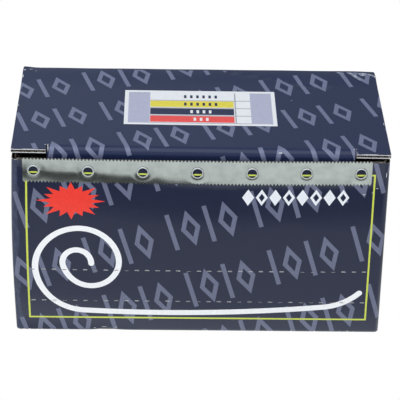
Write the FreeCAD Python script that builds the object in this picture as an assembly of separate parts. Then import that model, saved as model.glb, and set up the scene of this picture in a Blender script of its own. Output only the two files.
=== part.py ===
import FreeCAD, Part
import math
import os

# Boxed roll of aluminium foil: a folded board carton whose front edge carries a toothed
# steel cutter strip, with the roll on its card core lying inside.
# Millimetres. Origin at the middle of the base, +Z up, the front with the strip faces -Y.

# Carton
box_length = 130.0
box_depth = 66.0
box_height = 73.0
board = 1.4
corner_radius = 2.0
base_fold_radius = 1.6
lid_gap = 2.2

# Lid
hinge_fold_radius = 1.8
front_fold_radius = 2.5
slit_length = 12.0
tuck_depth = 16.0
tuck_side_gap = 3.0
tuck_lean = 8.5
tuck_corner_radius = 6.0
tuck_clearance = 0.3
slit_drop = 1.2
flute_pitch = 2.6
flute_depth = 3.0
liner = 0.3

# Dust flaps
dust_length = 28.0
dust_front_gap = 4.8
dust_back_gap = 3.0
dust_taper = 3.0
dust_corner_radius = 4.0

# Perforations across the front wall
perforation_low = 13.0
perforation_high = 25.8
perforation_pitch = 3.65
perforation_cut = 1.7
perforation_width = 0.3
perforation_margin = 6.0

# Cutter strip
strip_left_margin = 3.8
strip_right_margin = 6.2
strip_height = 9.7
strip_thickness = 0.25
strip_rise = 1.05
tooth_pitch = 1.2
tooth_depth = 0.85
rivet_holes = 7
rivet_hole_radius = 1.6
rivet_rim_radius = 2.25
rivet_rim_height = 0.3
rivet_rim_bevel = 0.2
rivet_end_margin = 3.75
collar_thickness = 0.25
collar_depth = 0.9

# Roll and core
roll_end_gap = 3.6
roll_play = 5.2
core_diameter = 34.0
core_wall = 2.0
tail_step = 0.3
turn_pitch = 3.0
turn_groove = 0.7
turn_groove_depth = 0.4

# Print
ink = 0.1
frame_side_gap = 4.8
frame_low = 5.7
frame_top_gap = 4.4
frame_line = 0.7
swirl_line = 2.1
frame_to_swirl_radius = 5.91
swirl_heading = 91.0
swirl_end_gap = 2.6
burst_width = 23.6
burst_height = 14.8
burst_points = 16
burst_left_gap = 4.0
burst_notch_share = 0.4
mark_height = 14.8
mark_line = 1.6
mark_pitch = 6.7
mark_tilt = 16.5
lozenge_width = 7.0
group_marks = 4
group_step_x = 29.0
group_step_z = 9.7
group_row = 23.6
group_shift = -7.0
pattern_start = (0.0, 44.5)
lid_pattern_start = (-17.0, 10.0)
diamond_height = 6.4
diamond_width = 4.2
diamond_pitch = 4.7
diamond_count = 8
diamond_right_gap = 8.5
diamond_drop = 1.6
label_length = 54.0
label_border = 1.4
label_side_field = 7.8
label_bar_length = 29.8
label_bar_depth = 5.0
label_bar_gap = 1.0
label_bar_margin = 0.8
label_rows = 4
label_front = 20.7

# How far a cutting shape reaches past what it cuts
overshoot = 1.0

# Sizes that follow from the ones above
front_wall_height = box_height - board - lid_gap
tuck_width = box_length - 2 * tuck_side_gap
strip_length = box_length - strip_left_margin - strip_right_margin
foil_width = box_length - 2 * board - 2 * roll_end_gap
roll_diameter = box_depth - 2 * board - roll_play
frame_width = box_length - 2 * frame_side_gap
frame_high = front_wall_height - frame_top_gap
swirl_radius = (frame_high - frame_low) / frame_to_swirl_radius
half_length = box_length / 2
half_depth = box_depth / 2
lid_underside = box_height - board
seam = front_wall_height - board
tuck_front = -half_depth + board + tuck_clearance
strip_back = -half_depth - ink
strip_front = strip_back - strip_thickness
strip_middle_x = -half_length + strip_left_margin + strip_length / 2
strip_middle_z = front_wall_height + strip_rise - strip_height / 2
rivet_pitch = (strip_length - 2 * rivet_end_margin) / (rivet_holes - 1)
roll_radius = roll_diameter / 2
roll_axis_z = board + roll_radius
diamond_middle_x = frame_width / 2 - diamond_right_gap - diamond_count * diamond_pitch / 2
diamond_middle_z = strip_middle_z - strip_height / 2 - diamond_drop - diamond_height / 2
label_row_pitch = label_bar_depth + label_bar_gap
label_depth = label_rows * label_row_pitch - label_bar_gap + 2 * (label_border + label_bar_margin)

X_AXIS = FreeCAD.Vector(1, 0, 0)
Y_AXIS = FreeCAD.Vector(0, 1, 0)
Z_AXIS = FreeCAD.Vector(0, 0, 1)


def vec(x, y, z):
    return FreeCAD.Vector(x, y, z)


def block(x0, x1, y0, y1, z0, z1):
    return Part.makeBox(x1 - x0, y1 - y0, z1 - z0, vec(x0, y0, z0))


def joined(shapes):
    whole = shapes[0]
    if len(shapes) > 1:
        whole = whole.fuse(shapes[1:])
    return whole.removeSplitter()


def flat_face(place, start, *steps):
    """Face bounded by lines and arcs; a step is an end point, or an arc's middle and end."""
    edges = []
    here = start
    for step in steps:
        if isinstance(step[0], tuple):
            middle, end = step
            edges.append(Part.Arc(place(*here), place(*middle), place(*end)).toShape())
        else:
            end = step
            edges.append(Part.makeLine(place(*here), place(*end)))
        here = end
    if math.dist(here, start) > 1e-6:
        edges.append(Part.makeLine(place(*here), place(*start)))
    return Part.Face(Part.Wire(edges))


def side_section(x_from, x_to, start, *steps):
    """Section in the Y-Z plane, run along X."""
    face = flat_face(lambda y, z: vec(x_from, y, z), start, *steps)
    return face.extrude(X_AXIS * (x_to - x_from))


def end_section(y_from, y_to, start, *steps):
    """Section in the X-Z plane, run along Y."""
    face = flat_face(lambda x, z: vec(x, y_from, z), start, *steps)
    return face.extrude(Y_AXIS * (y_to - y_from))


def plan_section(z_from, z_to, start, *steps):
    """Outline in the X-Y plane, run up Z."""
    face = flat_face(lambda x, y: vec(x, y, z_from), start, *steps)
    return face.extrude(Z_AXIS * (z_to - z_from))


def on_circle(centre, radius, degrees):
    turn = math.radians(degrees)
    return (centre[0] + radius * math.cos(turn), centre[1] + radius * math.sin(turn))


def rounded_plan(half_x, half_y, front_radius, back_radius, z_from, z_to):
    """Upright block with rounded corners, seen from above."""
    fr, br = front_radius, back_radius
    front_right = (half_x - fr, -half_y + fr)
    back_right = (half_x - br, half_y - br)
    back_left = (-half_x + br, half_y - br)
    front_left = (-half_x + fr, -half_y + fr)
    return plan_section(
        z_from, z_to, on_circle(front_left, fr, 270), on_circle(front_right, fr, 270),
        (on_circle(front_right, fr, 315), on_circle(front_right, fr, 0)), on_circle(back_right, br, 0),
        (on_circle(back_right, br, 45), on_circle(back_right, br, 90)), on_circle(back_left, br, 90),
        (on_circle(back_left, br, 135), on_circle(back_left, br, 180)), on_circle(front_left, fr, 180),
        (on_circle(front_left, fr, 225), on_circle(front_left, fr, 270)))


# Carton


def carton_shell():
    """Front, back, base and end walls up to the front wall's height."""
    fold = base_fold_radius
    front_fold = (-half_depth + fold, fold)
    back_fold = (half_depth - fold, fold)
    section = side_section(
        -half_length, half_length, (-half_depth, front_wall_height), (-half_depth, fold),
        (on_circle(front_fold, fold, 225), on_circle(front_fold, fold, 270)),
        on_circle(back_fold, fold, 270), (on_circle(back_fold, fold, 315), on_circle(back_fold, fold, 0)),
        (half_depth, front_wall_height))
    outside = section.common(
        rounded_plan(half_length, half_depth, corner_radius, corner_radius, 0, front_wall_height))
    inner_radius = corner_radius - board
    inside = rounded_plan(half_length - board, half_depth - board, inner_radius, inner_radius,
                          board, box_height)
    return outside.cut(inside)


def back_wall_top():
    """Back wall above the other walls, up to the middle of the lid's fold."""
    fold = hinge_fold_radius
    centre = (half_depth - fold, box_height - fold)
    section = side_section(
        -half_length, half_length, (half_depth, seam), (half_depth, centre[1]),
        (on_circle(centre, fold, 22.5), on_circle(centre, fold, 45)),
        on_circle(centre, fold - board, 45),
        (on_circle(centre, fold - board, 22.5), (half_depth - board, centre[1])),
        (half_depth - board, seam))
    return section.common(
        rounded_plan(half_length, half_depth, corner_radius, corner_radius, 0, box_height))


def dust_flap():
    """Left end wall's top and the flap folded in from it, just under the lid."""
    fold = hinge_fold_radius
    centre = (-half_length + fold, lid_underside - fold)
    tip = -half_length + dust_length
    section = end_section(
        -half_depth, half_depth, (-half_length, seam), (-half_length + board, seam),
        (-half_length + board, centre[1]),
        (on_circle(centre, fold - board, 135), on_circle(centre, fold - board, 90)),
        (tip, lid_underside - board), (tip, lid_underside), on_circle(centre, fold, 90),
        (on_circle(centre, fold, 135), on_circle(centre, fold, 180)))
    front = -half_depth + dust_front_gap
    back = half_depth - dust_back_gap
    corner = dust_corner_radius
    front_corner = (tip - corner, front + dust_taper + corner)
    back_corner = (tip - corner, back - dust_taper - corner)
    outline = plan_section(
        seam, box_height, (-half_length, front), on_circle(front_corner, corner, 270),
        (on_circle(front_corner, corner, 315), on_circle(front_corner, corner, 0)),
        on_circle(back_corner, corner, 0),
        (on_circle(back_corner, corner, 45), on_circle(back_corner, corner, 90)), (-half_length, back))
    return section.common(outline)


def perforations():
    """Short cuts right through the front wall, in two rows."""
    reach = half_length - perforation_margin
    each_side = int(reach / perforation_pitch)
    cuts = []
    for height in (perforation_low, perforation_high):
        for index in range(-each_side, each_side + 1):
            middle = index * perforation_pitch
            cuts.append(block(middle - perforation_cut / 2, middle + perforation_cut / 2,
                              -half_depth - overshoot, -half_depth + board + overshoot,
                              height - perforation_width / 2, height + perforation_width / 2))
    return Part.makeCompound(cuts)


def make_carton(strip):
    left_flap = dust_flap()
    right_flap = left_flap.mirror(vec(0, 0, 0), X_AXIS)
    sheet = joined([carton_shell(), back_wall_top(), left_flap, right_flap])
    return sheet.cut(perforations()).cut(strip)


# Lid


def tuck_points(inset):
    """Foot and lower edge of the leaning tuck flap, this far in from its outer face."""
    lean = math.radians(tuck_lean)
    centre = (tuck_front + front_fold_radius, box_height - front_fold_radius)
    foot = on_circle(centre, front_fold_radius - inset, 180 + tuck_lean)
    end_z = box_height - tuck_depth + inset * math.sin(lean)
    end_y = foot[0] + (foot[1] - end_z) * math.tan(lean)
    return centre, foot, (end_y, end_z)


def lid_top_panel():
    """Top panel with its half of the fold at the back, over the whole length of the box."""
    fold = hinge_fold_radius
    centre = (half_depth - fold, box_height - fold)
    section = side_section(
        -half_length, half_length, (-half_depth, box_height), (-half_depth, lid_underside),
        (centre[0], lid_underside),
        (on_circle(centre, fold - board, 67.5), on_circle(centre, fold - board, 45)),
        on_circle(centre, fold, 45), (on_circle(centre, fold, 67.5), (centre[0], box_height)))
    panel = section.common(rounded_plan(half_length, half_depth, liner, corner_radius, 0, box_height))
    middle = half_length - slit_length
    return panel.cut(block(-middle, middle, -half_depth, tuck_front + front_fold_radius, 0, box_height))


def front_fold():
    """Soft fold between the slits, and the tuck flap below it."""
    centre, outer_foot, outer_end = tuck_points(0)
    inner_foot, inner_end = tuck_points(board)[1:]
    bend = 90 + (90 + tuck_lean) / 2
    middle = half_length - slit_length
    return side_section(
        -middle, middle, (centre[0], box_height),
        (on_circle(centre, front_fold_radius, bend), outer_foot), outer_end, inner_end, inner_foot,
        (on_circle(centre, front_fold_radius - board, bend), (centre[0], lid_underside)))


def tuck_wings():
    """Full width of the tuck flap below the slits, with rounded lower corners."""
    outer_foot, outer_end = tuck_points(0)[1:]
    inner_foot, inner_end = tuck_points(board)[1:]
    half = tuck_width / 2
    section = side_section(-half, half, outer_foot, outer_end, inner_end, inner_foot)
    low = min(outer_end[1], inner_end[1])
    top = outer_foot[1] - slit_drop
    corner = tuck_corner_radius
    left = (-half + corner, low + corner)
    right = (half - corner, low + corner)
    outline = end_section(
        -half_depth, half_depth, (-half, top), (-half, low + corner),
        (on_circle(left, corner, 225), on_circle(left, corner, 270)), on_circle(right, corner, 270),
        (on_circle(right, corner, 315), on_circle(right, corner, 0)), (half, top))
    return section.common(outline)


def flute_ends():
    """Open ends of the flutes in the two raw edges beside the fold."""
    reach = box_height - liner
    count = int(slit_length / flute_pitch * 2)
    cuts = []
    for side in (-1, 1):
        for index in range(count):
            middle = side * (half_length - (index + 0.75) * flute_pitch / 2)
            wide = flute_pitch / 2 - liner
            narrow = wide / 3
            low_half, high_half = (wide / 2, narrow / 2) if index % 2 else (narrow / 2, wide / 2)
            low = lid_underside + liner
            cuts.append(end_section(
                -half_depth - overshoot, -half_depth + flute_depth, (middle - low_half, low),
                (middle + low_half, low), (middle + high_half, reach), (middle - high_half, reach)))
    return Part.makeCompound(cuts)


def make_lid():
    folded = joined([front_fold(), tuck_wings()])
    return joined([lid_top_panel().cut(flute_ends()), folded])


# Cutter strip


def toothed_plate():
    """Thin plate with fine teeth along both long edges."""
    count = round(strip_length / tooth_pitch)
    step = strip_length / count
    left = strip_middle_x - strip_length / 2
    tip = strip_height / 2
    root = tip - tooth_depth
    lower = []
    upper = []
    for index in range(count):
        valley = left + index * step
        lower += [(valley, strip_middle_z - root), (valley + step / 2, strip_middle_z - tip)]
        upper += [(valley, strip_middle_z + root), (valley + step / 2, strip_middle_z + tip)]
    right = left + strip_length
    corners = lower + [(right, strip_middle_z - root), (right, strip_middle_z + root)] + upper[::-1]
    wire = Part.makePolygon([vec(x, strip_front, z) for x, z in corners + corners[:1]])
    return Part.Face(wire).extrude(Y_AXIS * strip_thickness)


def rivet_rim():
    """Rolled rim around a hole and the burred collar that bites into the board."""
    hole = rivet_hole_radius
    outer = hole + collar_thickness
    back = strip_thickness
    point = back + ink + collar_depth
    bevel = collar_thickness
    face = flat_face(
        lambda r, y: vec(r, y, 0), (hole, 0),
        (hole + rivet_rim_bevel, -rivet_rim_height), (rivet_rim_radius - rivet_rim_bevel, -rivet_rim_height),
        (rivet_rim_radius, 0), (rivet_rim_radius, back), (outer, back), (outer, point - bevel),
        ((hole + outer) / 2, point), (hole, point - bevel))
    return face.revolve(vec(0, 0, 0), Y_AXIS, 360)


def make_cutter_strip():
    rims = []
    holes = []
    for index in range(rivet_holes):
        x = strip_middle_x + (index - (rivet_holes - 1) / 2) * rivet_pitch
        rim = rivet_rim()
        rim.translate(vec(x, strip_front, strip_middle_z))
        rims.append(rim)
        holes.append(Part.makeCylinder(rivet_hole_radius, 2 * strip_thickness,
                                       vec(x, strip_front - strip_thickness / 2, strip_middle_z), Y_AXIS))
    return joined([toothed_plate().cut(Part.makeCompound(holes))] + rims)


# Roll and core


def along_roll(x):
    return lambda y, z: vec(x, y, roll_axis_z + z)


def make_core_tube():
    outer = Part.makeCylinder(core_diameter / 2, foil_width, vec(-foil_width / 2, 0, roll_axis_z), X_AXIS)
    inner = Part.makeCylinder(core_diameter / 2 - core_wall, foil_width,
                              vec(-foil_width / 2, 0, roll_axis_z), X_AXIS)
    return outer.cut(inner)


def turn_spiral(x):
    """Spiral band of half-circles whose radius grows by half a pitch each half turn."""
    start = core_diameter / 2 + turn_pitch / 2
    halves = int((roll_radius - start - turn_groove) / turn_pitch) * 2
    outward = []
    inward = []
    for index in range(halves):
        radius = start + index * turn_pitch / 2
        centre = (0, 0) if index % 2 == 0 else (turn_pitch / 2, 0)
        side = 0 if index % 2 == 0 else 180
        for rim, steps in ((turn_groove, outward), (0, inward)):
            steps.append((on_circle(centre, radius + rim, side), on_circle(centre, radius + rim, side + 90),
                          on_circle(centre, radius + rim, side + 180)))
    steps = [(middle, end) for begin, middle, end in outward]
    steps.append(inward[-1][2])
    steps += [(middle, begin) for begin, middle, end in reversed(inward)]
    return flat_face(along_roll(x), outward[0][0], *steps)


def make_foil_roll():
    """Wound foil: outermost turn a spiral that ends in the tail, turns showing at both ends."""
    inner_radius = roll_radius - tail_step / 2
    left = -foil_width / 2
    right = foil_width / 2
    inner_centre = (-tail_step / 2, 0)
    body = flat_face(
        along_roll(left), on_circle((0, 0), roll_radius, 180),
        (on_circle((0, 0), roll_radius, 270), on_circle((0, 0), roll_radius, 0)),
        on_circle(inner_centre, inner_radius, 0),
        (on_circle(inner_centre, inner_radius, 90), on_circle(inner_centre, inner_radius, 180)))
    body = body.extrude(X_AXIS * foil_width)
    bore = Part.makeCylinder(core_diameter / 2, foil_width, vec(left, 0, roll_axis_z), X_AXIS)
    left_turns = turn_spiral(left).extrude(X_AXIS * turn_groove_depth)
    right_turns = turn_spiral(right).extrude(X_AXIS * -turn_groove_depth)
    return body.cut(bore).cut(left_turns).cut(right_turns)


# Print, as thin fields of colour on the board


def front_place(x, z):
    return vec(x, -half_depth, z)


def lid_place(x, z):
    """Position on the lid, with z measured back from its front edge."""
    return vec(x, -half_depth + z, box_height)


def rectangle(place, x0, x1, z0, z1):
    return flat_face(place, (x0, z0), (x1, z0), (x1, z1), (x0, z1))


def inked(face, outward):
    return face.extrude(outward * ink)


FRONT = Y_AXIS * -1
BACK = Y_AXIS
LEFT = X_AXIS * -1
RIGHT = X_AXIS
TOP = Z_AXIS


def frame_face():
    """Thin rectangular line around the front wall's picture; its top runs behind the strip."""
    half = frame_width / 2
    inner = half - frame_line
    return rectangle(front_place, -half, half, frame_low, frame_high).cut(
        rectangle(front_place, -inner, inner, frame_low + frame_line, frame_high - frame_line))


def bend(here, heading, radius, turned):
    """Centre and far end of an arc that sets off along the heading and turns left."""
    centre = on_circle(here, radius, heading + 90)
    return centre, on_circle(centre, radius, heading - 90 + turned)


def stroke(place, start, heading, bends, width):
    """Round-ended band of even width along arcs; a bend is a radius and the degrees turned left."""
    half = width / 2
    outer_side = []
    inner_side = []
    here = start
    opening = heading
    for radius, turned in bends:
        centre, here = bend(here, heading, radius, turned)
        angles = (heading - 90, heading - 90 + turned / 2, heading - 90 + turned)
        outer_side.append([on_circle(centre, radius + half, angle) for angle in angles])
        inner_side.append([on_circle(centre, radius - half, angle) for angle in angles])
        heading += turned
    steps = [(middle, end) for begin, middle, end in outer_side]
    steps.append((on_circle(here, half, heading), inner_side[-1][2]))
    steps += [(middle, begin) for begin, middle, end in reversed(inner_side)]
    steps.append((on_circle(start, half, opening + 180), outer_side[0][0]))
    return flat_face(place, outer_side[0][0], *steps)


def swirl_face():
    """Spiral that opens out of its eye and runs off along the foot of the wall."""
    # Each bend is a radius, as a multiple of the swirl's own, and the degrees it turns.
    eye = [(0.54, 71.5), (0.49, 124.0), (1.2, 31.0)]
    turn = [(0.965, 146.0), (1.405, 72.5), (1.515, 101.0), (1.795, 80.0)]
    bends = [(multiple * swirl_radius, turned) for multiple, turned in eye + turn]
    start = (-frame_width / 2 + 2.2 * swirl_radius, frame_low + 2.235 * swirl_radius)
    here = start
    heading = swirl_heading
    for radius, turned in bends:
        here = bend(here, heading, radius, turned)[1]
        heading += turned
    # The run-out is as long as it takes for the hook at its end to stop short of the frame.
    run_turn = 8.8
    hook_turn = 38.6
    hook_radius = 2.1 * swirl_radius
    sines = [math.sin(math.radians(angle))
             for angle in (heading, heading + run_turn, heading + run_turn + hook_turn)]
    run_reach = frame_width / 2 - swirl_end_gap - hook_radius * (sines[2] - sines[1]) - here[0]
    bends += [(run_reach / (sines[1] - sines[0]), run_turn), (hook_radius, hook_turn)]
    return stroke(front_place, start, swirl_heading, bends, swirl_line)


def burst_face():
    """Ragged star with points of two lengths."""
    centre_x = -frame_width / 2 + burst_left_gap + burst_width / 2
    centre_z = strip_middle_z - strip_height / 2 - burst_height / 2
    points = []
    for index in range(2 * burst_points):
        turn = math.pi * index / burst_points
        reach = 1.0
        if index % 2:
            reach = 1 - burst_notch_share
        elif index % 4:
            reach = 1 - burst_notch_share / 3
        points.append((centre_x + reach * burst_width / 2 * math.cos(turn),
                       centre_z + reach * burst_height / 2 * math.sin(turn)))
    return flat_face(front_place, *points)


def lozenge(place, x, z, width, height):
    return flat_face(place, (x - width / 2, z), (x, z - height / 2), (x + width / 2, z), (x, z + height / 2))


def lozenge_ring(place, width, height, line):
    """Lozenge outline whose line is equally wide all round."""
    slope = math.hypot(width, height)
    inner_width = width - line * slope / height * 2
    inner_height = inner_width * height / width
    return lozenge(place, 0, 0, width, height).cut(lozenge(place, 0, 0, inner_width, inner_height))


def diamond_row():
    """Row of pale lozenges under the strip, every second one open."""
    marks = []
    for index in range(diamond_count):
        x = diamond_middle_x + (index - (diamond_count - 1) / 2) * diamond_pitch
        mark = lozenge(front_place, x, diamond_middle_z, diamond_width, diamond_height)
        if index % 2:
            mark = mark.cut(lozenge(front_place, x, diamond_middle_z, diamond_width / 2, diamond_height / 2))
        marks.append(mark)
    return Part.makeCompound(marks)


def slanted_pattern(place, x0, x1, z0, z1, start):
    """Leaning bars and long lozenges in groups that climb to the right, cut to one panel."""
    turn = math.radians(mark_tilt)
    marks = []
    climb = (x1 - x0) / group_step_x * group_step_z
    for row in range(math.floor((z0 - start[1] - climb) / group_row),
                     math.ceil((z1 - start[1] + climb) / group_row) + 1):
        row_x = start[0] + row * group_shift
        for column in range(math.floor((x0 - row_x) / group_step_x),
                            math.ceil((x1 - row_x) / group_step_x) + 1):
            middle = (row_x + column * group_step_x, start[1] + column * group_step_z + row * group_row)
            if not (z0 - group_row < middle[1] < z1 + group_row):
                continue
            for index in range(group_marks):
                along = (index - (group_marks - 1) / 2) * mark_pitch
                centre = (middle[0] + along * math.cos(turn), middle[1] + along * math.sin(turn))

                def leaning(x, z, centre=centre):
                    return place(centre[0] + x * math.cos(turn) - z * math.sin(turn),
                                 centre[1] + x * math.sin(turn) + z * math.cos(turn))

                if index % 2:
                    mark = lozenge_ring(leaning, lozenge_width, mark_height, mark_line)
                else:
                    mark = rectangle(leaning, -mark_line / 2, mark_line / 2,
                                     -mark_height / 2, mark_height / 2)
                marks.append(mark)
    return Part.makeCompound(marks).common(rectangle(place, x0, x1, z0, z1))


def back_place(x, z):
    return vec(-x, half_depth, z)


def left_place(x, z):
    return vec(-half_length, -x, z)


def right_place(x, z):
    return vec(half_length, x, z)


def make_pattern(strip, over_it):
    """Pattern on the four walls, left out where other print covers the front."""
    along = half_length - corner_radius
    across = half_depth - corner_radius
    low = base_fold_radius
    front = slanted_pattern(front_place, -along, along, low, front_wall_height, pattern_start).cut(over_it)
    panels = [inked(front, FRONT).cut(strip)]
    for place, reach, outward in ((back_place, along, BACK), (left_place, across, LEFT),
                                  (right_place, across, RIGHT)):
        panels.append(inked(slanted_pattern(place, -reach, reach, low, front_wall_height, pattern_start),
                            outward))
    return Part.makeCompound(panels)


def label_bar(row):
    """Bar behind one row of the label, counted from the label's front edge."""
    left = -label_length / 2 + label_border + label_side_field
    start = label_front + label_border + label_bar_margin + row * label_row_pitch
    return rectangle(lid_place, left, left + label_bar_length, start, start + label_bar_depth)


def label_parts():
    """Label on the lid: white field with two side fields, and bars behind all rows but the last."""
    half = label_length / 2
    back = label_front + label_depth
    white = rectangle(lid_place, -half, half, label_front, back)
    low = label_front + label_border
    high = back - label_border
    edge = half - label_border
    lilac = Part.makeCompound([rectangle(lid_place, side * edge, side * (edge - label_side_field), low, high)
                               for side in (-1, 1)])
    red, dark, yellow = label_bar(0), label_bar(1), label_bar(2)
    return white.cut([lilac, red, dark, yellow]), lilac, red, yellow


def make_lid_pattern():
    along = half_length - corner_radius
    front = front_fold_radius + board
    label = rectangle(lid_place, -label_length / 2, label_length / 2, label_front, label_front + label_depth)
    back = box_depth - hinge_fold_radius
    marks = slanted_pattern(lid_place, -along, along, front, back, lid_pattern_start)
    return inked(marks.cut(label), TOP)


os.makedirs("parts", exist_ok=True)
strip = make_cutter_strip()
strip.exportStep("parts/cutter_strip.step")
make_carton(strip).exportStep("parts/carton.step")
make_lid().exportStep("parts/lid.step")
make_foil_roll().exportStep("parts/foil_roll.step")
make_core_tube().exportStep("parts/core_tube.step")

frame = frame_face()
swirl = swirl_face()
burst = burst_face()
diamonds = diamond_row()
inked(frame, FRONT).cut(strip).exportStep("parts/frame_print.step")
inked(swirl, FRONT).exportStep("parts/swirl_print.step")
inked(burst, FRONT).exportStep("parts/burst_print.step")
inked(diamonds, FRONT).exportStep("parts/diamond_print.step")
make_pattern(strip, [frame, swirl, burst, diamonds]).exportStep("parts/pattern_print.step")
make_lid_pattern().exportStep("parts/lid_pattern_print.step")
white, lilac, red, yellow = label_parts()
inked(white, TOP).exportStep("parts/label_white_print.step")
inked(lilac, TOP).exportStep("parts/label_lilac_print.step")
inked(red, TOP).exportStep("parts/label_red_print.step")
inked(yellow, TOP).exportStep("parts/label_yellow_print.step")
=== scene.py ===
import math
import random

import bpy
from mathutils import Matrix, Vector
from mathutils.geometry import delaunay_2d_cdt


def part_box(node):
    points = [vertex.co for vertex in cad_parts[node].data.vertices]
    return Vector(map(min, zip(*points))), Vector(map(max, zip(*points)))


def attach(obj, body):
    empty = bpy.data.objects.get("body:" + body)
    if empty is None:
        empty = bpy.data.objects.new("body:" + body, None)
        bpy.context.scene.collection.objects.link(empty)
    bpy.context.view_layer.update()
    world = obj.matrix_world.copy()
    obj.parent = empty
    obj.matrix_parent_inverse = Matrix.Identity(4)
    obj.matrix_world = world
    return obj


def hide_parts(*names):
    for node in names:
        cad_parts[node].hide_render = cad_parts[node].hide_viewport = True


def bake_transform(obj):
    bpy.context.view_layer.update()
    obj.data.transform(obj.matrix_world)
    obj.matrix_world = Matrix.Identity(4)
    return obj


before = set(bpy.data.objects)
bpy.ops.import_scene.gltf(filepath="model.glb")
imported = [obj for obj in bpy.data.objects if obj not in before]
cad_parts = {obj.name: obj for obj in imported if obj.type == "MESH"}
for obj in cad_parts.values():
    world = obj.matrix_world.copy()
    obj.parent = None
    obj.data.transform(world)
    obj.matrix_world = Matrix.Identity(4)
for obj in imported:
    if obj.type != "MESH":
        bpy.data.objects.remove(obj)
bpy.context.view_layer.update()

# Carton walls and base: one blank of thin corrugated board, printed dark blue with a leaning
# pattern and varnished, folded up and glued. The used carton's walls swell a little, its left
# front fold is rubbed and carries a painted highlight, its lower edge is dented, and perforations cross the
# front wall.
MM = 0.001
box_length = 2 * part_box("carton")[1].x / MM
box_depth = 2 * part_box("carton")[1].y / MM
box_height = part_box("lid")[1].z / MM
board = 1.4
liner = 0.28
corner_radius = 2.0
base_fold = 1.6
end_fold = 0.7
lid_gap = 2.2
wall_top = box_height - (board + lid_gap)
flute_pitch = 2.6
half_length = box_length / 2
half_depth = box_depth / 2
flat_x = half_length - corner_radius
flat_y = half_depth - corner_radius
quarter = math.pi * corner_radius / 2
all_round = 4 * (flat_x + flat_y + quarter)
side_middle = flat_x + quarter + flat_y
back_middle = 2 * side_middle
front_swell, side_swell, back_swell = 0.93, 0.35, 0.45
swell_rise = 48.0
dent_x, dent_deep, dent_wide, dent_high = -32.5, 0.75, 4.0, 1.7
corner_bulge, bulge_wide, bulge_back = 0.75, 7.0, 14.0


def new_work():
    """Mesh data of one piece while it is being built."""
    return {"points": [], "normals": [], "faces": [], "smooth": []}


def ring(corners, step):
    """Closed outline with points no further apart than step."""
    points = []
    for (u0, v0), (u1, v1) in zip(corners, corners[1:] + corners[:1]):
        parts = max(1, math.ceil(math.hypot(u1 - u0, v1 - v0) / step))
        points += [(u0 + (u1 - u0) * i / parts, v0 + (v1 - v0) * i / parts) for i in range(parts)]
    return points


def spread(start, end, step):
    """Evenly spaced values inside a range, both ends left out."""
    parts = max(2, round((end - start) / step))
    return [start + (end - start) * i / parts for i in range(1, parts)]


def bent_normal(place, u, v, facing):
    reach = 0.02
    du = Vector(place(u + reach, v)) - Vector(place(u - reach, v))
    dv = Vector(place(u, v + reach)) - Vector(place(u, v - reach))
    return du.cross(dv).normalized() * facing


def sheet(ground, outline, prints, place, grids, facing=1):
    """Flat blank bent to its place. Each print lies over what comes before it; None is a hole.
    A grid is a list of u and a list of v values; folds take a close one of their own."""
    owners = [ground] + [owner for outer, owner in prints]
    rings = []
    spots = []
    for loop in [outline] + [ring(outer, 1.1) for outer, owner in prints]:
        turn = sum(u0 * v1 - u1 * v0 for (u0, v0), (u1, v1) in zip(loop, loop[1:] + loop[:1]))
        rings.append(list(range(len(spots), len(spots) + len(loop)))[::1 if turn > 0 else -1])
        spots += [Vector(spot) for spot in loop]
    spots += [Vector((u, v)) for us, vs in grids for u in us for v in vs]
    found = delaunay_2d_cdt(spots, [], rings, 0, 1e-4)
    made = {}
    for triangle, sources in zip(found[2], found[5]):
        if 0 not in sources or owners[max(sources)] is None:
            continue
        owner = owners[max(sources)]
        row = []
        for spot in triangle[::facing]:
            key = (id(owner), spot)
            if key not in made:
                u, v = found[0][spot]
                made[key] = len(owner["points"])
                owner["points"].append(place(u, v))
                owner["normals"].append(bent_normal(place, u, v, facing))
            row.append(made[key])
        owner["faces"].append(row)
        owner["smooth"].append(True)


def flat_faces(work, points, faces):
    """Adds faces with hard edges."""
    first = len(work["points"])
    work["points"] += points
    work["normals"] += [(0, 0, 0)] * len(points)
    work["faces"] += [[first + i for i in face] for face in faces]
    work["smooth"] += [False] * len(faces)


def cut_edge(work, path, place, near, far, closed=True):
    """Cut edge of a liner, from one depth to another along a path on the blank."""
    count = len(path)
    points = [place(u, v, near) for u, v in path] + [place(u, v, far) for u, v in path]
    spans = count if closed else count - 1
    quads = [[i, (i + 1) % count, count + (i + 1) % count, count + i] for i in range(spans)]
    flat_faces(work, points, quads)


def make_piece(name, work, material, body, stands_for=()):
    mesh = bpy.data.meshes.new(name)
    mesh.from_pydata([Vector(p) * MM for p in work["points"]], [], work["faces"])
    mesh.polygons.foreach_set("use_smooth", work["smooth"])
    mesh.normals_split_custom_set_from_vertices([tuple(n) for n in work["normals"]])
    mesh.materials.append(material)
    piece = bpy.data.objects.new(name, mesh)
    bpy.context.scene.collection.objects.link(piece)
    if body:
        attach(piece, body)
    if stands_for:
        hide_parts(*stands_for)
    return piece


def node_material(name):
    material = bpy.data.materials.new(name)
    material.use_nodes = True
    nodes = material.node_tree.nodes
    return material, nodes, material.node_tree.links, nodes["Principled BSDF"]


def spotted(nodes, links, scale, detail, low, high, low_at, high_at):
    """Noise turned into a colour between two, in the object's own space."""
    place = nodes.new("ShaderNodeTexCoord")
    noise = nodes.new("ShaderNodeTexNoise")
    noise.inputs["Scale"].default_value = scale
    noise.inputs["Detail"].default_value = detail
    links.new(place.outputs["Object"], noise.inputs["Vector"])
    ramp = nodes.new("ShaderNodeValToRGB")
    ramp.color_ramp.elements[0].position = low_at
    ramp.color_ramp.elements[1].position = high_at
    ramp.color_ramp.elements[0].color = (*low, 1)
    ramp.color_ramp.elements[1].color = (*high, 1)
    links.new(noise.outputs["Fac"], ramp.inputs["Fac"])
    return noise, ramp


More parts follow.
